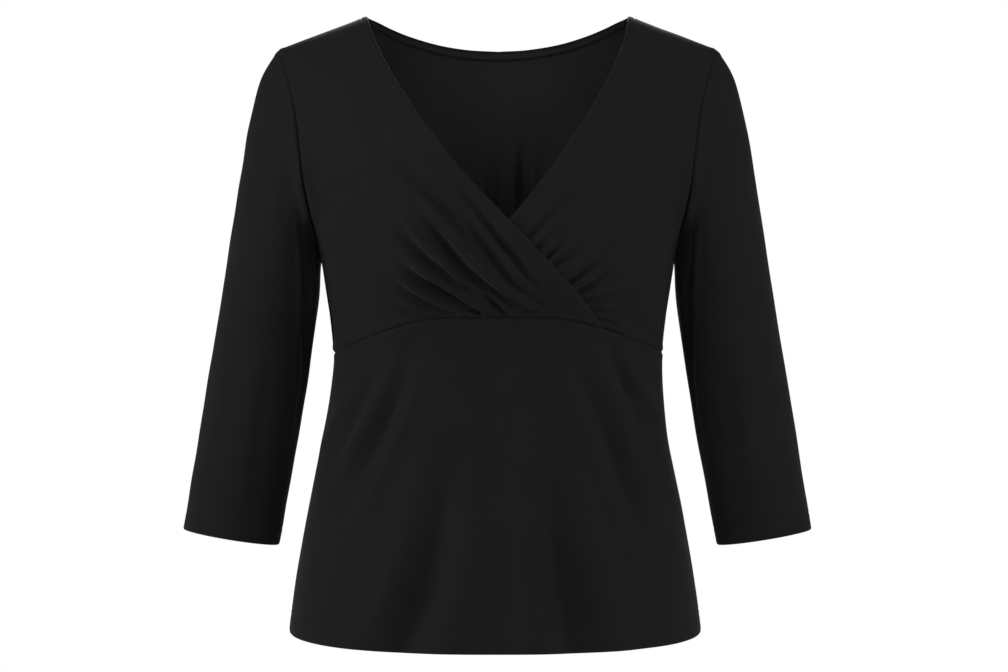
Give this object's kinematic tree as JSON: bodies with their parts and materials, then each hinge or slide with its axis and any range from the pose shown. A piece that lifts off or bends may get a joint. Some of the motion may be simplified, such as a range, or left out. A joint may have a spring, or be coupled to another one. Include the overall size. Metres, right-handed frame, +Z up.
{
  "type": "wrap top",
  "caption": "Women's fine jersey wrap top with a crossed V neck, gathers under the bust, a flared lower body and three-quarter sleeves, filled out as if worn",
  "frame": {"origin": "midway between the two points where the shoulder seams meet the neckline, which is where the wearer's shoulders hold the top up", "axes": "+Z up, -Y is the front of the top, +X is the wearer's left"},
  "size_m": [0.5992, 0.2602, 0.5949],
  "materials": {
    "jersey_right_front": "matte",
    "jersey_left_front": "matte",
    "jersey_back": "matte",
    "jersey_band": "matte",
    "jersey_lower_front": "matte",
    "jersey_lower_back": "matte",
    "jersey_right_sleeve": "matte",
    "jersey_left_sleeve": "matte"
  },
  "bodies": {
    "root": {"right_front": "jersey_right_front", "left_front": "jersey_left_front", "back_bodice": "jersey_back", "back_neck_band": "jersey_band", "lower_front": "jersey_lower_front", "lower_back": "jersey_lower_back", "right_sleeve": "jersey_right_sleeve", "left_sleeve": "jersey_left_sleeve"}
  },
  "joints": []
}
